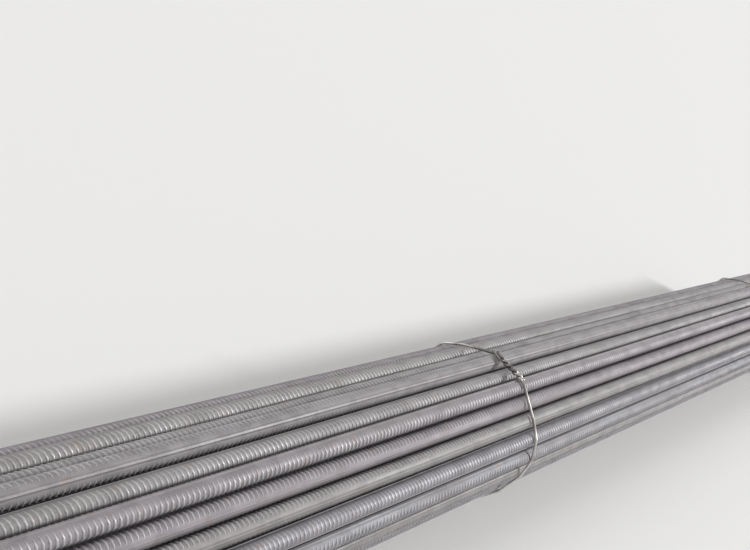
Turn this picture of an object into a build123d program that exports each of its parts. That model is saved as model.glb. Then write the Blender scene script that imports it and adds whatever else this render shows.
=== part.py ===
# A bundle of ribbed steel reinforcing bars, held together by twisted wire ties, as it lies on a level floor.
# Millimetres. X runs along the bars, +Z is up. The origin is on the floor under the middle of the bundle.
from build123d import *
import math
import os
import random

import numpy as np

# The bars: plain round to the crest of their ribs, which stand 2 mm above a 31 mm core.
bar_length = 6000.0
bar_diameter = 35.0
bar_count = 60
bar_gap = 0.5
end_stagger = 14.0

# The wire ties, each drawn tight round the outer bars. A bend of the wire turns by wire_turn at the most.
tie_count = 3
tie_spacing = 2400.0
wire_diameter = 6.0
wire_sides = 8
wire_gap = 0.3
wire_turn = 28.0

# The knot of a tie. It starts knot_lean degrees from the top, towards +Y. There the end that has come round
# the bundle turns back in a tight bend, and both ends are twisted together on the bars, with short tails.
knot_lean = 8.0
knot_lead = 8.0
back_bend_radius = 5.0
back_bend_steps = 4
twist_turns = 2.3
twist_pitch = 26.0
points_a_turn = 6
tail_lengths = [24.0, 14.0]
tail_rises = [1.0, 4.0]

# How the bars lie. Each is straight, from its place at one end of the bundle to its place at the other.
# They start as loose rows, thrown about by start_scatter, and wander by bar_wander from end to end. Then they
# sink, a circle of bundle_widths holds them at the two ends, and they push each other apart. Loosening,
# scatter, wander and sinking are shares of the bars' spacing, and the two pushes are shares of an overlap.
bundle_widths = [326.0, 300.0]
base_flattening = 26.0
layer_count = 8
start_loosening = 0.05
start_scatter = 0.9
bar_wander = 0.5
row_sink = 0.016
settling_push = 0.7
final_push = 0.9
settling_steps = 260
checks_along = 16
bar_order_seed = 10

bar_radius = bar_diameter / 2
wire_radius = wire_diameter / 2
bar_spacing = bar_diameter + bar_gap
wire_reach = wire_diameter + wire_gap
floor_bar_height = wire_reach + bar_radius
hearts = [np.array([0.0, wire_reach + width / 2 - base_flattening]) for width in bundle_widths]
tie_places = [(number - (tie_count - 1) / 2) * tie_spacing for number in range(tie_count)]
strand_offset = (wire_radius + wire_gap / 2) / math.cos(math.pi / points_a_turn)
back_bend_width = strand_offset + 2 * back_bend_radius


def first_places(dice):
    """Each bar's place at each end, on a loose triangular grid about the heart of the bundle."""
    grid = bar_spacing * (1 + start_loosening)
    cells = [
        ((column + row / 2) * grid, row * math.sin(math.radians(60)) * grid)
        for column in range(-bar_count, bar_count)
        for row in range(-bar_count // 2, bar_count // 2)
    ]
    cells.sort(key=lambda cell: math.hypot(*cell))
    places = np.zeros((2, bar_count, 2))
    for number, cell in enumerate(cells[:bar_count]):
        thrown = [dice.uniform(-1, 1) * start_scatter * bar_spacing for _ in range(2)]
        for end in range(2):
            wander = [dice.uniform(-1, 1) * bar_wander * bar_spacing for _ in range(2)]
            places[end, number] = hearts[end] + cell + thrown + wander
    return places


def push_apart(places, strength):
    """Move every two bars that are too close apart, all along the bundle. Returns the worst overlap."""
    worst = 0.0
    for share in np.linspace(0, 1, checks_along + 1):
        here = (1 - share) * places[0] + share * places[1]
        offsets = here[:, None] - here[None]
        distances = np.sqrt((offsets**2).sum(-1)) + np.eye(bar_count) * bar_length
        overlaps = np.maximum(bar_spacing - distances, 0)
        worst = max(worst, overlaps.max())
        moves = ((overlaps / distances)[..., None] * offsets).sum(1) * strength / 2
        weight = (1 - share) ** 2 + share**2
        places[0] += moves * (1 - share) / weight
        places[1] += moves * share / weight
    np.maximum(places[..., 1], floor_bar_height, out=places[..., 1])
    return worst


def settled_places():
    """Where each bar's centre lies at each end, across and up, once the bundle has settled."""
    places = first_places(random.Random(bar_order_seed))
    for step in range(settling_steps):
        fading = 1 - step / settling_steps
        places[..., 1] -= row_sink * bar_spacing * fading
        for end in range(2):
            offsets = places[end] - hearts[end]
            distances = np.sqrt((offsets**2).sum(-1))
            outside = np.maximum(distances - bundle_widths[end] / 2 + bar_radius, 0)
            places[end] -= offsets * (outside / distances * fading)[:, None]
        push_apart(places, settling_push)
    while push_apart(places, final_push) > bar_gap / 20:
        pass
    tied = np.array([section_at(places, place)[:, 0] for place in tie_places])
    leftmost = min(places[..., 0].min(), tied.min() - wire_reach)
    rightmost = max(places[..., 0].max(), tied.max() + wire_reach)
    places[..., 0] -= (leftmost + rightmost) / 2
    return places


def section_at(places, x):
    """Each bar's centre where the bundle is cut at x, across and up."""
    share = x / bar_length + 0.5
    return (1 - share) * places[0] + share * places[1]


def bar(start, end):
    """One straight bar from the centre of one end to the centre of the other."""
    run = Vector(*end) - Vector(*start)
    return extrude(Plane(origin=start, z_dir=run) * Circle(bar_radius), amount=run.length)


def stand_out(first, middle, last):
    """How far the middle point lies to the right of the line from the first point to the last."""
    across, up = last[0] - first[0], last[1] - first[1]
    return ((middle[0] - first[0]) * up - (middle[1] - first[1]) * across) / math.hypot(across, up)


def outer_bars(centres):
    """The centres of the bars that bend the tightest loop, in order. Some others only just touch it."""
    points = sorted((float(across), float(up)) for across, up in centres)

    def chain(ordered):
        kept = []
        for point in ordered:
            while len(kept) > 1 and stand_out(kept[-2], kept[-1], point) < wire_gap / 2:
                kept.pop()
            kept.append(point)
        return kept[:-1]

    return chain(points) + chain(points[::-1])


def wire_corners(centres):
    """The bends of a wire drawn round the outer bars, with enough of them at each bar to keep them gentle."""
    outer = outer_bars(centres)
    distance = bar_radius + wire_gap + wire_radius
    corners = []
    for number, (across, up) in enumerate(outer):
        before, after = outer[number - 1], outer[(number + 1) % len(outer)]
        heading = math.atan2(up - before[1], across - before[0])
        whole = (math.atan2(after[1] - up, after[0] - across) - heading) % math.tau
        bends = math.ceil(whole / math.radians(wire_turn))
        for bend in range(bends):
            outward = heading - math.pi / 2 + whole * (bend + 0.5) / bends
            reach = distance / math.cos(whole / bends / 2)
            corners.append((across + reach * math.cos(outward), up + reach * math.sin(outward)))
    return corners


def tie_route(place, centres):
    """The line of one tie: a tail, its twist, once round the bundle, back, and the other twist and tail."""
    corners = wire_corners(centres)
    middle = np.mean(corners, axis=0)

    def lean_of(run):
        across, up = (np.array(run[0]) + run[1]) / 2 - middle
        return abs(math.degrees(math.atan2(across, up)) - knot_lean)

    runs = [(corners[number], corners[number - 1]) for number in range(len(corners))]
    knot_run = min((run for run in runs if math.dist(*run) > bar_radius), key=lean_of)
    start = corners.index(knot_run[0])
    round_the_bundle = corners[start:] + corners[:start]
    forward = (np.array(knot_run[1]) - knot_run[0]) / math.dist(*knot_run)
    outward = np.array([-forward[1], forward[0]])

    def spot(ahead, aside, out):
        across, up = knot_run[0] + forward * (knot_lead + ahead) + outward * out
        return (place + aside, across, up)

    def strand(side, tail, rise):
        steps = round(twist_turns * points_a_turn)
        angles = [math.tau * step / points_a_turn for step in range(steps + 1)]
        reach = [step * twist_pitch / points_a_turn for step in range(steps + 1)]
        asides = [side * strand_offset * math.cos(angle) for angle in angles]
        outs = [strand_offset * (1 + side * math.sin(angle)) for angle in angles]
        tail_aside = asides[-1] * (1 + tail / twist_pitch)
        tail_end = spot(reach[-1] + tail, tail_aside, outs[-1] + rise)
        return [spot(*here) for here in zip(reach, asides, outs)] + [tail_end]

    loop = [
        (place + back_bend_width * number / len(corners), across, up)
        for number, (across, up) in enumerate(round_the_bundle)
    ]
    back_bend = []
    for step in range(1, back_bend_steps):
        share = step / back_bend_steps
        aside = strand_offset + back_bend_radius * (1 + math.cos(math.pi * share))
        back_bend.append(spot(-back_bend_radius * math.sin(math.pi * share), aside, strand_offset * share))
    entry = spot(0, back_bend_width, 0)
    strands = [strand(side, *tail) for side, tail in zip((-1, 1), zip(tail_lengths, tail_rises))]
    return strands[0][::-1] + loop + [entry] + back_bend + strands[1]


def wire_tie(place, centres):
    """One piece of wire, drawn round the bundle with its ends twisted together."""
    path = Polyline(*tie_route(place, centres))
    start = Plane(origin=path @ 0, z_dir=path % 0)
    return sweep(start * RegularPolygon(wire_radius, wire_sides), path=path, transition=Transition.RIGHT)


places = settled_places()
staggers = list(np.linspace(-end_stagger, end_stagger, bar_count))
random.Random(bar_order_seed).shuffle(staggers)

# The layers, from the floor up, as the bars lie at the middle of their length.
upward = np.argsort(section_at(places, 0)[:, 1])
bars = [
    bar(*[(x + stagger, *place) for x, place in zip((-bar_length / 2, bar_length / 2), places[:, number])])
    for number, stagger in zip(upward, staggers)
]
layers = np.array_split(range(bar_count), layer_count)

os.makedirs("parts", exist_ok=True)
for number, members in enumerate(layers, start=1):
    layer = Compound(children=[bars[member] for member in members])
    export_step(layer, f"parts/bars_layer_{number}.step")
for number, place in enumerate(tie_places, start=1):
    tie = wire_tie(place, section_at(places, place))
    export_step(tie, f"parts/wire_tie_{number}.step")
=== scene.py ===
import math
import random

import bmesh
import bpy
import numpy as np
from mathutils import Matrix, Vector


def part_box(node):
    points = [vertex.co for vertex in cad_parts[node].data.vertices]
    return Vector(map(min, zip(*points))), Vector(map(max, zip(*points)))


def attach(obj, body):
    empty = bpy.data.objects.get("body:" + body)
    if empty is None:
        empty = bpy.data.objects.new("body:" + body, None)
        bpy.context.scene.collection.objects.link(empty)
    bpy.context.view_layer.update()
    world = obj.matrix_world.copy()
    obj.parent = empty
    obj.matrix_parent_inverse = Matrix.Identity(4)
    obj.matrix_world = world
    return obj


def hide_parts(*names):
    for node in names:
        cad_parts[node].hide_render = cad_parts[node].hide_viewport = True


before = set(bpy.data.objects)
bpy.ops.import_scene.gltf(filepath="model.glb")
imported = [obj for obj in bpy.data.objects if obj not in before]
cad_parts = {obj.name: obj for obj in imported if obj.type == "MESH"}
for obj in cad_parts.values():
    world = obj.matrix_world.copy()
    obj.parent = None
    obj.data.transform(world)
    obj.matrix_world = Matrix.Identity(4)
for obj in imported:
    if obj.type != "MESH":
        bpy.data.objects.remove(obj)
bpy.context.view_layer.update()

# A round bundle of ribbed reinforcing bars, tied with wire. Metres, as in the frame: X runs along the bars.

barNodes = sorted(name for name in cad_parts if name.startswith("bars_layer"))
tieNodes = sorted(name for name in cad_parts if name.startswith("wire_tie"))

sameSpot = 1e-5  # points closer together than this are merged


def meshFrom(bm, name):
    mesh = bpy.data.meshes.new(name)
    bm.to_mesh(mesh)
    bm.free()
    return mesh


def linked(name, data):  # a new object in the scene
    holder = bpy.data.objects.new(name, data)
    bpy.context.collection.objects.link(holder)
    return holder


def finished(maker):  # the mesh that an object comes out as, in place of the object
    graph = bpy.context.evaluated_depsgraph_get()
    mesh = bpy.data.meshes.new_from_object(maker.evaluated_get(graph))
    bpy.data.objects.remove(maker)
    return mesh


def triangles(piece):
    return sum(len(face.vertices) - 2 for face in piece.data.polygons)


# Where each bar lies, from the frame

endRing = 0.03  # how near to a bar's end a point belongs to that end's rim


def looseParts(bm):  # the points of each separate solid of a mesh
    left = set(bm.verts)
    parts = []
    while left:
        front = [left.pop()]
        part = list(front)
        while front:
            vert = front.pop()
            for edge in vert.link_edges:
                other = edge.other_vert(vert)
                if other in left:
                    left.remove(other)
                    front.append(other)
                    part.append(other)
        parts.append(part)
    return parts


def ringMiddle(points):
    lowest = Vector(map(min, zip(*points)))
    highest = Vector(map(max, zip(*points)))
    return (lowest + highest) / 2


def barLines(node):  # both ends of each bar's centre line in a layer
    bm = bmesh.new()
    bm.from_mesh(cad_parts[node].data)
    bmesh.ops.remove_doubles(bm, verts=bm.verts, dist=sameSpot)
    lines = []
    for part in looseParts(bm):
        points = [vert.co.copy() for vert in part]
        ends = min(point.x for point in points), max(point.x for point in points)
        lines.append([ringMiddle([p for p in points if abs(p.x - x) < endRing]) for x in ends])
    bm.free()
    return sorted(lines, key=lambda line: (round(line[0].z, 4), line[0].y))  # the lowest first


def centresAt(x):  # every bar's centre, across and up, where the bundle is cut at x
    return [start.lerp(end, (x - start.x) / (end.x - start.x)).yz for start, end in allLines]


layerLines = {node: barLines(node) for node in barNodes}
allLines = [line for lines in layerLines.values() for line in lines]
print("bars:", len(allLines))


# The ribbed bars

barValues = {
    "coreRadius": 0.0155,
    "crestRadius": 0.0176,  # over the ribs
    "sides": 28,
    "ribPitch": 0.014,
    "ribFoot": 0.0076,      # width where a rib rises from the core
    "ribTop": 0.0030,       # width of its flat crest
    "ribSunk": 0.0004,      # how deep its foot lies in the core
    "ribArc": 150,          # degrees of the bar's round that one rib spans
    "ribSteps": 5,
    "ribLean": 0.010,       # how far one end of a rib lies ahead of the other
    "plainPitches": 3,      # pitches without a rib, at the two ends of a bar together
    "seamHeight": 0.0013,   # the two plain ribs that run the whole length
    "seamAim": 0.6,         # a seam's face points to its side within this share of half a face's turn
    "endAim": 0.9,          # an end face points along the bar at least this much, where 1 is fully
    "endChamfer": 0.0008,
    "softEdges": 50,        # degrees: an edge that turns less is shaded smooth
    "hiddenReach": 0.3,     # how far in from the ends a side that nothing shows still has its ribs
    "ribView": 62,          # degrees from a row's middle within which its ribs stand out from the core
    "sightCuts": (-2.9, -1.5, 0, 1.5, 2.9),  # where lines of sight are tried
    "sightSteps": 48,       # how many directions are tried there
    "sightStart": 1.02,     # where a line of sight starts, as a share of the crest's radius
    "sightSlope": 0.15,     # how steeply it leaves the bar at least, where 1 is straight out
    "seed": 13,
}


def makeRib(values, lean):  # one crescent rib over the top of the bar
    low = values["coreRadius"] - values["ribSunk"]
    high = values["crestRadius"]
    arc = math.radians(values["ribArc"])
    halfFoot, halfTop = values["ribFoot"] / 2, values["ribTop"] / 2
    bm = bmesh.new()
    section = [(-halfFoot, low), (halfFoot, low), (halfTop, high), (-halfTop, high)]
    face = bm.faces.new([bm.verts.new((x, 0, radius)) for x, radius in section])
    bmesh.ops.rotate(bm, verts=bm.verts, cent=(0, 0, 0), matrix=Matrix.Rotation(-arc / 2, 3, "X"))
    bmesh.ops.translate(bm, verts=bm.verts, vec=(-lean / 2, 0, 0))
    bmesh.ops.spin(
        bm, geom=[face] + face.edges[:] + face.verts[:], cent=(0, 0, 0), axis=(1, 0, 0),
        dvec=(lean / values["ribSteps"], 0, 0), angle=arc, steps=values["ribSteps"],
    )
    height = bm.verts.layers.float.new("ribHeight")
    for vert in bm.verts:  # a rib is highest in the middle and runs out at both ends
        turned = math.atan2(-vert.co.y, vert.co.z)
        share = turned / arc + 0.5
        fullness = max(0.0, 1 - (2 * share - 1) ** 2)
        middle = lean * (share - 0.5)
        radius = low + (vert.co.yz.length - low) * fullness
        x = middle + (vert.co.x - middle) * fullness
        vert.co = Vector((x, -math.sin(turned) * radius, math.cos(turned) * radius))
        vert[height] = (radius - low) / (high - low)
    bmesh.ops.remove_doubles(bm, verts=bm.verts, dist=sameSpot)
    bmesh.ops.recalc_face_normals(bm, faces=bm.faces)
    return meshFrom(bm, "rib")


def ribRow(rib, count, values):  # a straight row of ribs, a pitch apart
    maker = linked("ribRow", rib)
    array = maker.modifiers.new("row", "ARRAY")
    array.count = count
    array.use_relative_offset = False
    array.use_constant_offset = True
    array.constant_offset_displace = (values["ribPitch"], 0, 0)
    return finished(maker)


def along(start, end, roll):  # turns and moves something that lies along X onto the run from start to end
    turn = Vector((1, 0, 0)).rotation_difference(end - start).to_matrix().to_4x4()
    return Matrix.Translation(start) @ turn @ Matrix.Rotation(roll, 4, "X")


def barCore(line, roll, values):  # the round core with its two long seams and its cut ends
    start, end = line
    place = along(start, end, roll)
    halfSide = Matrix.Rotation(math.pi / values["sides"], 4, "X")
    bm = bmesh.new()
    bmesh.ops.create_circle(bm, cap_ends=True, radius=values["coreRadius"], segments=values["sides"])
    bmesh.ops.transform(bm, verts=bm.verts, matrix=place @ halfSide @ Matrix.Rotation(math.pi / 2, 4, "Y"))
    grown = bmesh.ops.extrude_face_region(bm, geom=bm.faces[:])
    verts = [item for item in grown["geom"] if isinstance(item, bmesh.types.BMVert)]
    bmesh.ops.translate(bm, verts=verts, vec=end - start)
    bmesh.ops.recalc_face_normals(bm, faces=bm.faces)
    sideways = place.to_3x3() @ Vector((0, 1, 0))
    facesThatWay = math.cos(math.pi / values["sides"] * values["seamAim"])
    for side in (sideways, -sideways):
        strip = [face for face in bm.faces if face.normal.dot(side) > facesThatWay]
        grown = bmesh.ops.extrude_face_region(bm, geom=strip)
        verts = [item for item in grown["geom"] if isinstance(item, bmesh.types.BMVert)]
        bmesh.ops.translate(bm, verts=verts, vec=side * values["seamHeight"])
        bmesh.ops.delete(bm, geom=strip, context="FACES_ONLY")
    direction = (end - start).normalized()
    cuts = [face for face in bm.faces if abs(face.normal.dot(direction)) > values["endAim"]]
    rims = list({edge for face in cuts for edge in face.edges})
    bmesh.ops.bevel(
        bm, geom=rims, offset=values["endChamfer"], affect="EDGES", segments=1, profile=0.5, material=-1,
        clamp_overlap=True,
    )
    bmesh.ops.recalc_face_normals(bm, faces=bm.faces)
    return meshFrom(bm, "core")


def anglesSeen(line, values):  # the angles round a bar at which something outside the bundle can see it
    angles = np.arange(values["sightSteps"]) * math.tau / values["sightSteps"]
    rays = np.column_stack([np.cos(angles), np.sin(angles)])
    across = np.column_stack([-np.sin(angles), np.cos(angles)])
    outwards = rays @ rays.T > values["sightSlope"]
    seen = np.zeros(len(rays), bool)
    number = allLines.index(line)
    for x in values["sightCuts"]:
        centres = np.array(centresAt(x))
        starts = centres[number] + values["sightStart"] * values["crestRadius"] * rays
        offsets = centres - starts[:, None]
        blocked = (offsets @ rays.T > 0) & (np.abs(offsets @ across.T) < values["crestRadius"])
        seen |= (outwards & ~blocked.any(axis=1)).any(axis=1)
    return angles[seen]


def ribbedBar(bm, line, rows, dice, values):  # adds one bar to the mesh
    start, end = line
    pitch = values["ribPitch"]
    roll = dice.uniform(0, math.pi)
    shift = dice.uniform(0, pitch / 2)
    seen = anglesSeen(line, values)
    parts = [barCore(line, roll, values)]
    for side in range(2):
        facing = math.pi / 2 + roll + side * math.pi
        away = np.abs((seen - facing + math.pi) % math.tau - math.pi)
        whole = max(rows[side])
        counts = [(whole, 0)]
        if not (away < math.radians(values["ribView"])).any():
            short = min(rows[side])
            counts = [(short, 0), (short, whole - short)]
        for count, skipped in counts:
            row = rows[side][count].copy()
            ahead = pitch * (1 + skipped + side / 2) + shift  # the second row lies half a pitch ahead
            row.transform(along(start, end, roll + side * math.pi) @ Matrix.Translation((ahead, 0, 0)))
            parts.append(row)
    for part in parts:
        bm.from_mesh(part)
        bpy.data.meshes.remove(part)


def layerPiece(node, rows, dice, values):
    bm = bmesh.new()
    bm.verts.layers.float.new("ribHeight")
    tones = []
    for line in layerLines[node]:
        before = len(bm.faces)
        ribbedBar(bm, line, rows, dice, values)
        tones += [dice.random()] * (len(bm.faces) - before)
    mesh = meshFrom(bm, node.replace("bars_layer", "ribbed_bars"))
    mesh.attributes.new("barTone", "FLOAT", "FACE").data.foreach_set("value", tones)
    mesh.shade_smooth()
    mesh.set_sharp_from_angle(angle=math.radians(values["softEdges"]))
    piece = linked(mesh.name, mesh)
    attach(piece, "root")
    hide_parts(node)
    return piece


shortestBar = min((end - start).length for start, end in allLines)
wholeRow = int(shortestBar / barValues["ribPitch"]) - barValues["plainPitches"]
endRow = int(barValues["hiddenReach"] / barValues["ribPitch"])
rows = []  # the bar's two sides: their ribs lean opposite ways
for lean in (barValues["ribLean"], -barValues["ribLean"]):
    rib = makeRib(barValues, lean)
    rows.append({count: ribRow(rib, count, barValues) for count in (wholeRow, endRow)})
dice = random.Random(barValues["seed"])
layers = [layerPiece(node, rows, dice, barValues) for node in barNodes]
print("ribbed bars done, triangles:", [triangles(piece) for piece in layers])


# The wire ties

tieValues = {
    "thickness": 0.006,
    "gap": 0.0002,          # between the wire and the ribs' crests, and between its two strands
    "leastBend": 0.00015,   # a bar that would bend the wire less than this only touches it
    "bendStep": 12,         # degrees of bend from one point of the wire to the next
    "longRun": 0.05,        # a straight stretch longer than this has a point in its middle
    "sides": 12,
    "curveSteps": 2,        # steps of the curve from one point to the next
    "curveOrder": 4,        # how smoothly the curve runs between its points
    "knotLean": 8,          # degrees from the top of the bundle to the knot, towards +Y
    "knotLead": 0.004,      # how far past the bend the twist starts
    "backBend": 0.005,      # radius of the bend where one end turns back into the twist
    "backBendSteps": 8,
    "twistTurns": 2.333,
    "twistPitch": 0.026,
    "stepsATurn": 15,
    "tails": ((0.024, 0.001), (0.014, 0.004)),  # length of each tail, and how far it rises
    "tailPoints": (0.3, 0.65, 1),               # where along a tail its points lie
}


def standOut(first, middle, last):  # how far the middle point lies to the right of a line through the others
    run = last - first
    return ((middle.x - first.x) * run.y - (middle.y - first.y) * run.x) / run.length


def outerBars(centres, values):  # the bars that bend the tightest loop, in order
    points = sorted(centres, key=lambda centre: (centre.x, centre.y))

    def chain(ordered):
        kept = []
        for point in ordered:
            while len(kept) > 1 and standOut(kept[-2], kept[-1], point) < values["leastBend"]:
                kept.pop()
            kept.append(point)
        return kept[:-1]

    return chain(points) + chain(points[::-1])


def bendsRound(centres, values):  # the wire's points round each outer bar
    outer = outerBars(centres, values)
    distance = barValues["crestRadius"] + values["gap"] + values["thickness"] / 2
    bends = []
    for number, here in enumerate(outer):
        before, after = outer[number - 1], outer[(number + 1) % len(outer)]
        heading = math.atan2(here.y - before.y, here.x - before.x)
        whole = (math.atan2(after.y - here.y, after.x - here.x) - heading) % math.tau
        steps = math.ceil(math.degrees(whole) / values["bendStep"])
        angles = [heading - math.pi / 2 + whole * step / steps for step in range(steps + 1)]
        bends.append([here + distance * Vector((math.cos(angle), math.sin(angle))) for angle in angles])
    return bends


def tieRoute(place, centres, values):  # tail, twist, once round the bundle, back, twist and tail
    bends = bendsRound(centres, values)
    middle = sum((bend[0] for bend in bends), Vector((0, 0))) / len(bends)

    def leanOf(number):
        lies = (bends[number][0] + bends[number - 1][-1]) / 2 - middle
        return abs(math.degrees(math.atan2(lies.x, lies.y)) - values["knotLean"])

    def runLength(number):
        return (bends[number][0] - bends[number - 1][-1]).length

    longRuns = [number for number in range(len(bends)) if runLength(number) > barValues["crestRadius"] / 2]
    knot = min(longRuns, key=leanOf)
    start = bends[knot][0]
    forward = (bends[knot - 1][-1] - start).normalized()
    outward = Vector((-forward.y, forward.x))
    offset = (values["thickness"] + values["gap"]) / 2 / math.cos(math.pi / values["stepsATurn"])
    backBendWidth = offset + 2 * values["backBend"]

    def spot(ahead, aside, out):
        across, up = start + forward * (values["knotLead"] + ahead) + outward * out
        return Vector((place + aside, across, up))

    def strand(side, tail, rise):
        points = []
        for step in range(round(values["twistTurns"] * values["stepsATurn"]) + 1):
            turns = step / values["stepsATurn"]
            aside = side * offset * math.cos(math.tau * turns)
            out = offset * (1 + side * math.sin(math.tau * turns))
            points.append(spot(turns * values["twistPitch"], aside, out))
        ahead = turns * values["twistPitch"]
        for share in values["tailPoints"]:
            points.append(spot(ahead + tail * share, aside * (1 + share), out + rise * share))
        return points

    loop = []
    for bend in bends[knot:] + bends[:knot]:
        if loop and (bend[0] - loop[-1]).length > values["longRun"]:
            loop.append((bend[0] + loop[-1]) / 2)
        loop += bend
    shares = [number / len(loop) for number in range(len(loop))]
    round3d = [Vector((place + backBendWidth * share, *point)) for share, point in zip(shares, loop)]
    backBend = []
    for step in range(values["backBendSteps"]):
        angle = math.pi * step / values["backBendSteps"]
        aside = offset + values["backBend"] * (1 + math.cos(angle))
        backBend.append(spot(-values["backBend"] * math.sin(angle), aside, offset * angle / math.pi))
    strands = [strand(side, *tail) for side, tail in zip((-1, 1), values["tails"])]
    return strands[0][::-1] + round3d + backBend + strands[1]


def wirePiece(node, values):
    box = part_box(node)
    reach = (values["thickness"] + values["gap"]) / 2 + 2 * values["backBend"] + values["thickness"] / 2
    place = box[1][0] - reach  # the back bend is what reaches furthest along the bundle
    route = tieRoute(place, centresAt(place), values)
    curve = bpy.data.curves.new("wire", "CURVE")
    curve.dimensions = "3D"
    curve.bevel_depth = values["thickness"] / 2
    curve.bevel_resolution = values["sides"] // 4 - 1
    curve.resolution_u = values["curveSteps"]
    curve.use_fill_caps = True
    spline = curve.splines.new("NURBS")
    spline.points.add(len(route) - 1)
    for point, spot in zip(spline.points, route):
        point.co = (*spot, 1)
    spline.order_u = values["curveOrder"]
    spline.use_endpoint_u = True
    bm = bmesh.new()
    bm.from_mesh(finished(linked("wire", curve)))
    bmesh.ops.remove_doubles(bm, verts=bm.verts, dist=sameSpot)
    bmesh.ops.recalc_face_normals(bm, faces=bm.faces)
    mesh = meshFrom(bm, node.replace("wire_tie", "tie_wire"))
    mesh.shade_smooth()
    mesh.set_sharp_from_angle(angle=math.radians(barValues["softEdges"]))
    piece = linked(mesh.name, mesh)
    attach(piece, "root")
    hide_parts(node)
    return piece


ties = [wirePiece(node, tieValues) for node in tieNodes]
print("ties done, triangles:", [triangles(piece) for piece in ties])
print("triangles in all:", sum(triangles(piece) for piece in layers + ties))


# Finishes

def addNode(material, kind, **settings):
    node = material.node_tree.nodes.new(kind)
    for name, value in settings.items():
        setattr(node, name, value)
    return node


def link(material, output, socket):
    material.node_tree.links.new(output, socket)


def patternSpace(material, coordinates, stretch):  # coordinates squeezed by so much along X, Y and Z
    mapping = addNode(material, "ShaderNodeMapping")
    mapping.inputs["Scale"].default_value = stretch
    link(material, coordinates, mapping.inputs["Vector"])
    return mapping.outputs["Vector"]


def noise(material, coordinates, scale, detail, stretch=(1, 1, 1)):
    node = addNode(material, "ShaderNodeTexNoise")
    node.inputs["Scale"].default_value = scale
    node.inputs["Detail"].default_value = detail
    link(material, patternSpace(material, coordinates, stretch), node.inputs["Vector"])
    return node.outputs["Fac"]


def remap(material, value, fromRange, toRange):
    node = addNode(material, "ShaderNodeMapRange")
    link(material, value, node.inputs["Value"])
    for name, number in zip(("From Min", "From Max", "To Min", "To Max"), (*fromRange, *toRange)):
        node.inputs[name].default_value = number
    return node.outputs["Result"]


def times(material, first, second):
    node = addNode(material, "ShaderNodeMath", operation="MULTIPLY")
    link(material, first, node.inputs[0])
    link(material, second, node.inputs[1])
    return node.outputs["Value"]


def plainColor(material, color):
    node = addNode(material, "ShaderNodeRGB")
    node.outputs["Color"].default_value = (*color, 1)
    return node.outputs["Color"]


def mixColor(material, share, under, over):  # over is a colour, or another node's output
    node = addNode(material, "ShaderNodeMix", data_type="RGBA")
    underSocket, overSocket, mixed = node.inputs[6], node.inputs[7], node.outputs[2]  # those for colours
    link(material, share, node.inputs["Factor"])
    link(material, under, underSocket)
    if isinstance(over, tuple):
        overSocket.default_value = (*over, 1)
    else:
        link(material, over, overSocket)
    return mixed


def shade(material, color, value):  # the colour times a grey value
    node = addNode(material, "ShaderNodeVectorMath", operation="SCALE")
    link(material, color, node.inputs[0])
    link(material, value, node.inputs["Scale"])
    return node.outputs["Vector"]


def bump(material, height, distance, strength):
    node = addNode(material, "ShaderNodeBump")
    node.inputs["Distance"].default_value = distance
    node.inputs["Strength"].default_value = strength
    link(material, height, node.inputs["Height"])
    return node.outputs["Normal"]


steelValues = {
    # one bar differs a little from the next: warm, violet, olive and blue greys
    "tones": [
        (0.331, 0.308, 0.314), (0.302, 0.278, 0.312), (0.344, 0.338, 0.328), (0.292, 0.297, 0.322),
        (0.338, 0.310, 0.345), (0.315, 0.310, 0.298), (0.357, 0.337, 0.367),
    ],
    "wornAndLit": (0.49, 0.472, 0.49),     # on the crests of the ribs: partly real wear, partly a painted highlight where the crests catch the light
    "darkFoot": (0.23, 0.212, 0.212),    # a darker colour at the feet of the ribs, in patches
    "rust": (0.27, 0.185, 0.135),
    "cut": (0.37, 0.335, 0.31),      # the sheared ends
    "specular": 0.3,
    "metallic": (0.20, 0.48),        # of the scale, and of a worn crest
    "roughness": (0.52, 0.78),
    "wornRoughness": 0.72,           # how much of the roughness a worn crest keeps
    "relief": (0.002, 0.6),          # depth and strength of the bump
    "ownPlace": (5.0, 3.1, 7.3),     # how far the patterns shift from bar to bar at most
    # each pattern's scale and detail, and its stretch along X, Y and Z
    "patterns": {
        "patches": (9.0, 5.0, (0.22, 1, 1)),
        "flakes": (38.0, 8.0, (0.45, 1, 1)),
        "streaks": (160.0, 3.0, (0.05, 1, 1)),
        "grain": (420.0, 3.0),
        "pits": (950.0, 2.0),
        "rubs": (26.0, 3.0, (0.4, 1, 1)),
        "rust": (60.0, 7.0, (0.5, 1, 1)),
        "shear": (130.0, 4.0, (1, 1, 0.18)),
    },
    # in each pair of ranges, a pattern, height or slope that lies in the first becomes a value in the second
    # how each pattern darkens or lightens the steel
    "shading": {
        "patches": ((0.3, 0.7), (0.82, 1.12)),
        "flakes": ((0.47, 0.56), (1.06, 0.84)),     # where the scale is whole, and where it has come off
        "streaks": ((0.3, 0.7), (0.90, 1.08)),
        "grain": ((0.3, 0.7), (0.88, 1.10)),
        "pits": ((0.36, 0.52), (0.80, 1.08)),
    },
    # where the feet of the ribs are darker, in patches
    "darkFootByHeight": ((0.45, 0.05), (0.0, 0.6)),
    "darkFootInPatches": ((0.35, 0.6), (0.35, 1.0)),
    # where the crests are painted paler: partly wear, partly a painted highlight
    "wearAndSheenByHeight": ((0.30, 0.80), (0.0, 1.0)),
    "wearAndSheenInRubs": ((0.35, 0.62), (0.25, 0.85)),
    "rustSpots": ((0.60, 0.73), (0.0, 0.38)),
    "endFaces": ((0.93, 0.97), (0.0, 1.0)),
    "shearMarks": ((0.3, 0.7), (0.6, 1.2)),
    "rustOnCuts": ((0.48, 0.66), (0.0, 0.8)),
    "unevenGloss": (0.12, 0.38),     # becomes the roughness
}


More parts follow.
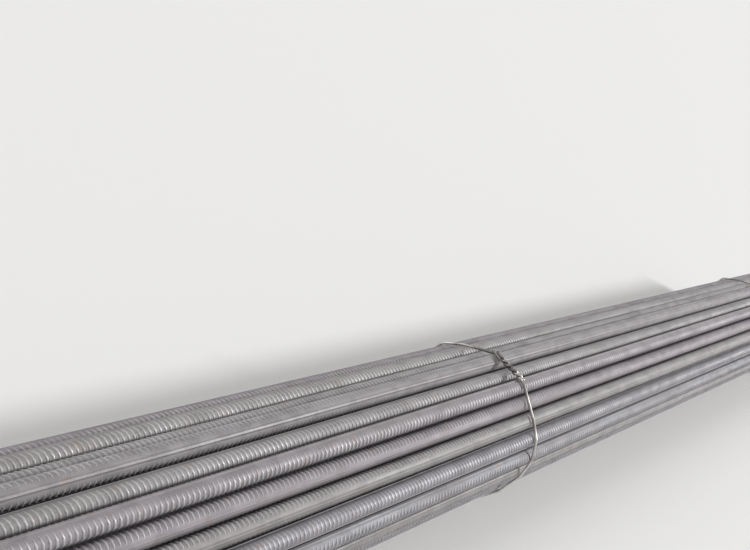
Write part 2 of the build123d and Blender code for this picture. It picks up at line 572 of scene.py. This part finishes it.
def barSteel(values):
    material = bpy.data.materials.new("barSteel")
    material.use_nodes = True
    shader = material.node_tree.nodes["Principled BSDF"]
    shader.inputs["Specular IOR Level"].default_value = values["specular"]
    tone = addNode(material, "ShaderNodeAttribute", attribute_name="barTone").outputs["Fac"]
    height = addNode(material, "ShaderNodeAttribute", attribute_name="ribHeight").outputs["Fac"]
    coordinates = addNode(material, "ShaderNodeTexCoord")

    # no pattern runs on to the next bar
    ownPlace = addNode(material, "ShaderNodeVectorMath", operation="SCALE")
    ownPlace.inputs[0].default_value = values["ownPlace"]
    link(material, tone, ownPlace.inputs["Scale"])
    shifted = addNode(material, "ShaderNodeVectorMath", operation="ADD")
    link(material, coordinates.outputs["Object"], shifted.inputs[0])
    link(material, ownPlace.outputs["Vector"], shifted.inputs[1])
    space = shifted.outputs["Vector"]
    pattern = {name: noise(material, space, *look) for name, look in values["patterns"].items()}

    ramp = addNode(material, "ShaderNodeValToRGB")
    colorRamp = ramp.color_ramp
    for number in range(1, len(values["tones"]) - 1):
        colorRamp.elements.new(number / (len(values["tones"]) - 1))
    for element, color in zip(colorRamp.elements, values["tones"]):
        element.color = (*color, 1)
    link(material, tone, ramp.inputs["Fac"])
    color = ramp.outputs["Color"]
    for name, ranges in values["shading"].items():
        color = shade(material, color, remap(material, pattern[name], *ranges))

    # darker at the feet of the ribs, in patches
    foot = remap(material, height, *values["darkFootByHeight"])
    darkFootMask = times(material, foot, remap(material, pattern["patches"], *values["darkFootInPatches"]))
    color = mixColor(material, darkFootMask, color, values["darkFoot"])
    # the rib crests are painted paler: partly real wear, partly a painted highlight where they catch the
    # light
    crest = remap(material, height, *values["wearAndSheenByHeight"])
    wearAndSheen = times(material, crest, remap(material, pattern["rubs"], *values["wearAndSheenInRubs"]))
    color = mixColor(material, wearAndSheen, color, values["wornAndLit"])
    rusty = remap(material, pattern["rust"], *values["rustSpots"])
    color = mixColor(material, rusty, color, values["rust"])

    normal = addNode(material, "ShaderNodeSeparateXYZ")
    link(material, coordinates.outputs["Normal"], normal.inputs["Vector"])
    facing = addNode(material, "ShaderNodeMath", operation="ABSOLUTE")
    link(material, normal.outputs["X"], facing.inputs[0])
    atEnd = remap(material, facing.outputs["Value"], *values["endFaces"])
    sheared = remap(material, pattern["shear"], *values["shearMarks"])
    cut = shade(material, plainColor(material, values["cut"]), sheared)
    cut = mixColor(material, remap(material, pattern["rust"], *values["rustOnCuts"]), cut, values["rust"])
    color = mixColor(material, atEnd, color, cut)
    link(material, color, shader.inputs["Base Color"])

    link(material, remap(material, wearAndSheen, (0, 1), values["metallic"]), shader.inputs["Metallic"])
    uneven = times(material, pattern["patches"], pattern["grain"])
    rough = remap(material, uneven, values["unevenGloss"], values["roughness"])
    rubbedSmooth = remap(material, wearAndSheen, (0, 1), (1, values["wornRoughness"]))
    link(material, times(material, rough, rubbedSmooth), shader.inputs["Roughness"])
    fine = times(material, pattern["grain"], pattern["streaks"])
    coarse = times(material, pattern["pits"], pattern["flakes"])
    relief = bump(material, times(material, fine, coarse), *values["relief"])
    link(material, relief, shader.inputs["Normal"])
    return material


wireValues = {
    "dull": (0.34, 0.315, 0.285),
    "bright": (0.72, 0.70, 0.665),
    "darkTop": (0.13, 0.12, 0.115),    # darker on top of the bundle, round the knot
    "darkTopFrom": (0.20, 0.285),      # heights between which the darkening sets in
    "metallic": 0.7,
    "roughness": (0.52, 0.32),       # of dull wire, and of bright wire
    # the patterns and ranges are given as for the steel
    "relief": (0.0001, 0.3),
    "patterns": {"stains": (22.0, 3.0), "drawn": (700.0, 2.0, (1, 0.1, 0.1))},
    "barePlaces": ((0.36, 0.58), (0.0, 1.0)),
    "drawMarks": ((0.3, 0.7), (0.93, 1.05)),
    "darkTopPlaces": ((0.66, 0.40), (0.45, 0.95)),
    "unevenGloss": (0.35, 0.6),
}


def tieWire(values):
    material = bpy.data.materials.new("tieWire")
    material.use_nodes = True
    shader = material.node_tree.nodes["Principled BSDF"]
    shader.inputs["Metallic"].default_value = values["metallic"]
    space = addNode(material, "ShaderNodeTexCoord").outputs["Object"]
    pattern = {name: noise(material, space, *look) for name, look in values["patterns"].items()}
    bare = remap(material, pattern["stains"], *values["barePlaces"])
    color = mixColor(material, bare, plainColor(material, values["dull"]), values["bright"])
    color = shade(material, color, remap(material, pattern["drawn"], *values["drawMarks"]))
    parts = addNode(material, "ShaderNodeSeparateXYZ")
    link(material, space, parts.inputs["Vector"])
    # the wire is darker towards the top of the bundle, round the knot, in patches
    onTop = remap(material, parts.outputs["Z"], values["darkTopFrom"], (0, 1))
    patchy = times(material, onTop, remap(material, pattern["stains"], *values["darkTopPlaces"]))
    color = mixColor(material, patchy, color, values["darkTop"])
    link(material, color, shader.inputs["Base Color"])
    gloss = remap(material, pattern["stains"], values["unevenGloss"], values["roughness"])
    link(material, gloss, shader.inputs["Roughness"])
    relief = bump(material, pattern["drawn"], *values["relief"])
    link(material, relief, shader.inputs["Normal"])
    return material


steel = barSteel(steelValues)
for piece in layers:
    piece.data.materials.append(steel)
wire = tieWire(wireValues)
for piece in ties:
    piece.data.materials.append(wire)
print("finishes done")


# The floor, the light and the camera

floorValues = {"reach": 40, "color": (0.74, 0.735, 0.725), "roughness": 0.9}


def makeFloor(values):
    bm = bmesh.new()
    bmesh.ops.create_grid(bm, x_segments=1, y_segments=1, size=values["reach"])
    floor = linked("floor", meshFrom(bm, "floor"))
    material = bpy.data.materials.new("floorPaint")
    material.use_nodes = True
    shader = material.node_tree.nodes["Principled BSDF"]
    shader.inputs["Base Color"].default_value = (*values["color"], 1)
    shader.inputs["Roughness"].default_value = values["roughness"]
    floor.data.materials.append(material)


lightValues = {
    "sky": 0.42,
    "backdrop": 0.78,   # what the camera and the steel's gloss see beyond the floor, where 1 is white
    # where each lamp shines from, the degrees it covers seen from the floor, and its strength
    "lamps": {"key": ((4.6, -3.4, 3.4), 9, 2.6), "fill": ((-5.0, 4.2, 5.4), 50, 1.25)},
}


def makeLights(values):
    world = bpy.data.worlds.new("studio")
    world.use_nodes = True
    bpy.context.scene.world = world
    background = world.node_tree.nodes["Background"]
    background.inputs["Color"].default_value = (1, 1, 1, 1)
    path = addNode(world, "ShaderNodeLightPath")
    seen = addNode(world, "ShaderNodeMath", operation="MAXIMUM")
    link(world, path.outputs["Is Camera Ray"], seen.inputs[0])
    link(world, path.outputs["Is Glossy Ray"], seen.inputs[1])
    strength = remap(world, seen.outputs["Value"], (0, 1), (values["sky"], values["backdrop"]))
    link(world, strength, background.inputs["Strength"])
    for name, (place, spread, power) in values["lamps"].items():
        lamp = bpy.data.lights.new(name, "SUN")  # even over the whole length
        lamp.angle = math.radians(spread)
        lamp.energy = power
        holder = linked(name, lamp)
        holder.location = place
        holder.rotation_mode = "QUATERNION"
        holder.rotation_quaternion = (-Vector(place)).to_track_quat("-Z", "Y")


cameraValues = {
    "place": (-3.350, -0.732, 1.409),
    "heading": 17.88,   # degrees from the bars' direction towards the far side
    "down": 18.36,
    "roll": 36.85,
    "lens": 83.47,
    "sensor": 36,
}


def makeCamera(values):
    data = bpy.data.cameras.new("camera")
    data.sensor_width = values["sensor"]
    data.lens = values["lens"]
    camera = linked("camera", data)
    heading, down = math.radians(values["heading"]), math.radians(values["down"])
    level = Vector((math.cos(heading), math.sin(heading), 0))
    sight = level * math.cos(down) - Vector((0, 0, math.sin(down)))
    turn = sight.to_track_quat("-Z", "Y").to_matrix().to_4x4()
    roll = Matrix.Rotation(math.radians(values["roll"]), 4, "Z")
    camera.matrix_world = Matrix.Translation(values["place"]) @ turn @ roll
    bpy.context.scene.camera = camera


makeFloor(floorValues)
makeLights(lightValues)
makeCamera(cameraValues)
bpy.context.scene.view_settings.view_transform = "Standard"

print("done")
